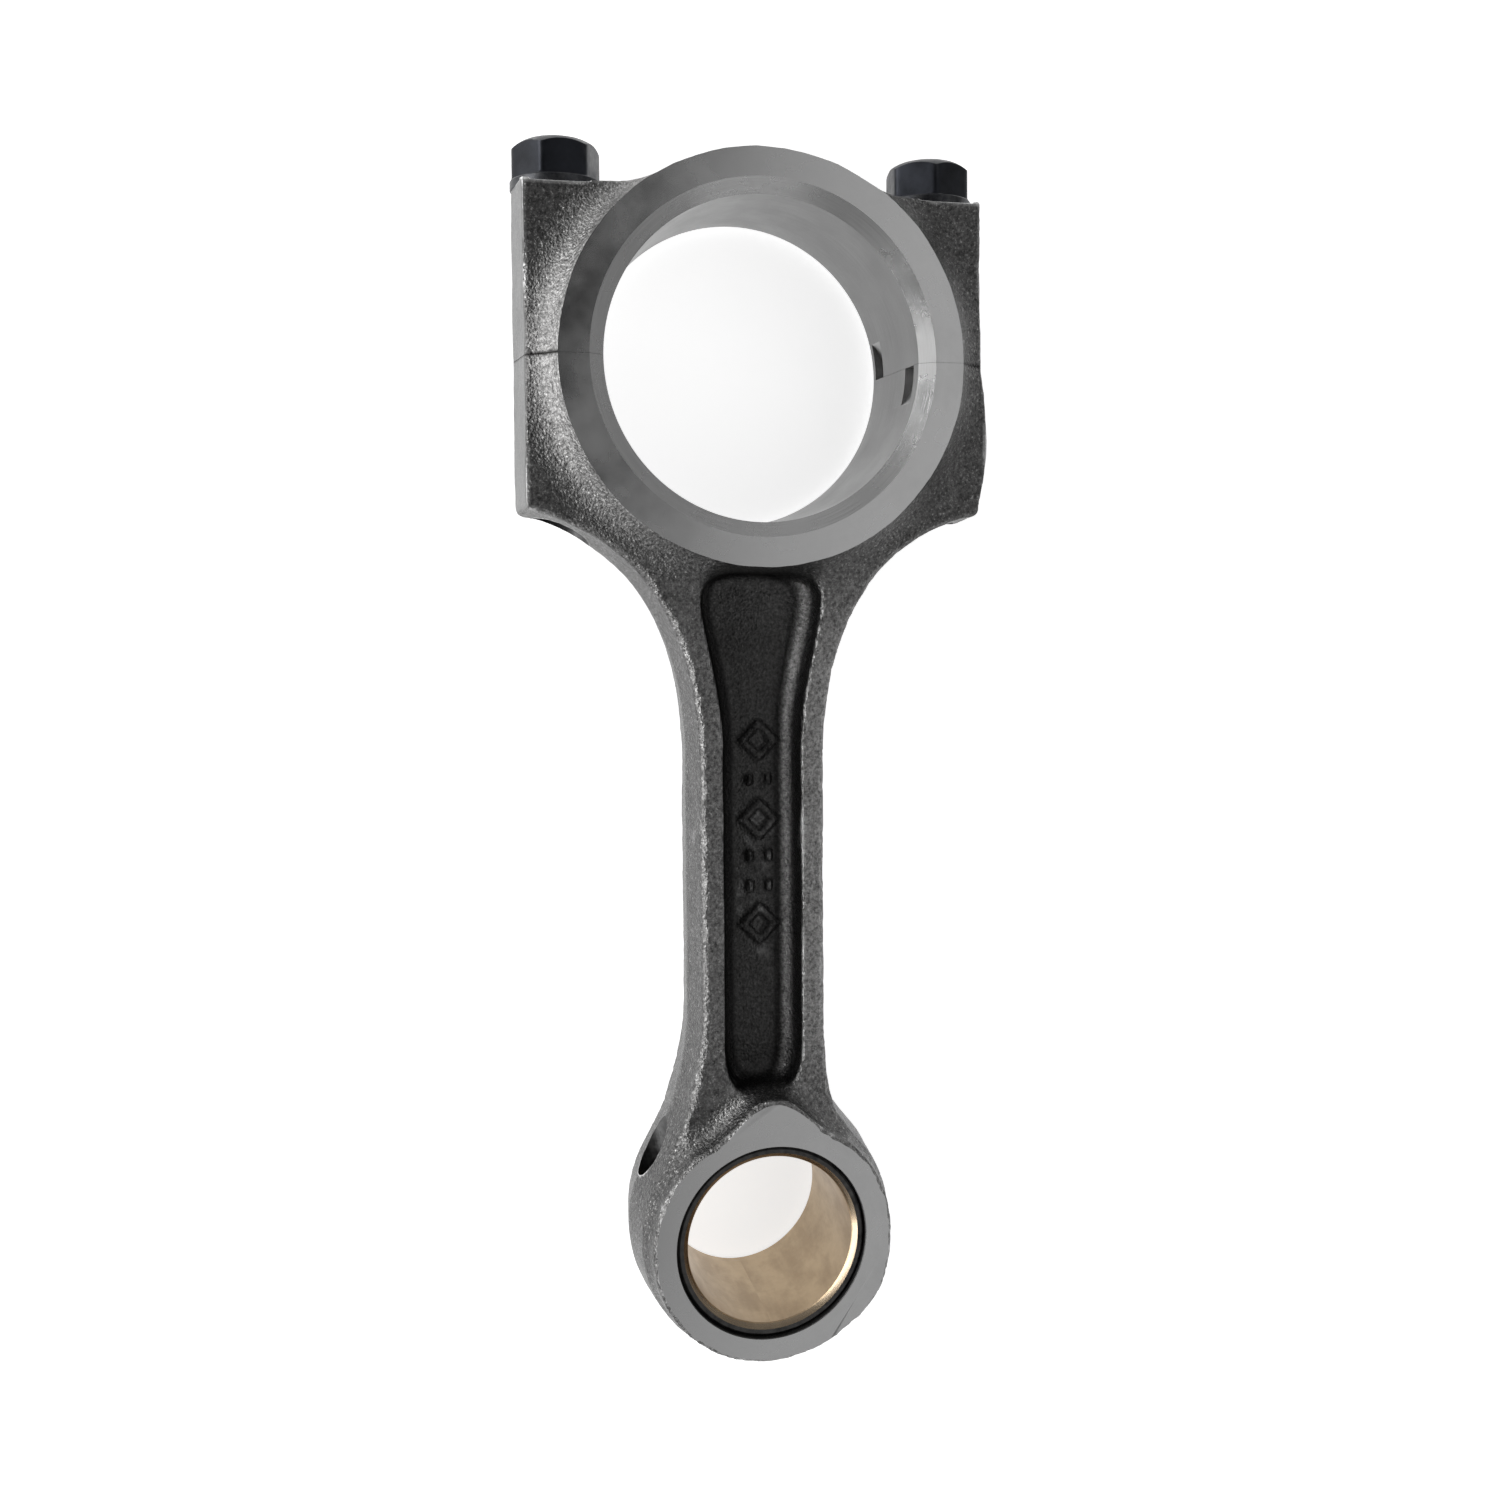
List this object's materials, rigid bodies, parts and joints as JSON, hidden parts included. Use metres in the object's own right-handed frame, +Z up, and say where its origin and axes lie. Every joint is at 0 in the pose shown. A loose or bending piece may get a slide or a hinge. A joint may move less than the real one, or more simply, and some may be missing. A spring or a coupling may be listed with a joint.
{
  "type": "connecting rod",
  "caption": "Forged I-section connecting rod with a two-bolt big-end cap, machined thrust faces, an oil hole and a steel-backed bronze small-end bush.",
  "frame": {"origin": "under the middle of the whole rod, bolts included, on the plane that the lower thrust faces rest on", "axes": "+X along the rod from the small end to the big end and its cap, +Y across the rod towards the oil hole, +Z up along both bores"},
  "size_m": [0.1584, 0.062, 0.021],
  "materials": {
    "forged_steel": "shot-blasted forging skin, with fine-turned and ground faces, bores and seats",
    "bush_bronze": "fine-bored bronze lining on a dark steel back",
    "black_oxide_steel": "black oxide with a light oil film"
  },
  "bodies": {
    "root": {"rod_body": "forged_steel", "bearing_cap": "forged_steel", "small_end_bush": "bush_bronze", "cap_bolt_left": "black_oxide_steel", "cap_bolt_right": "black_oxide_steel"}
  },
  "joints": []
}
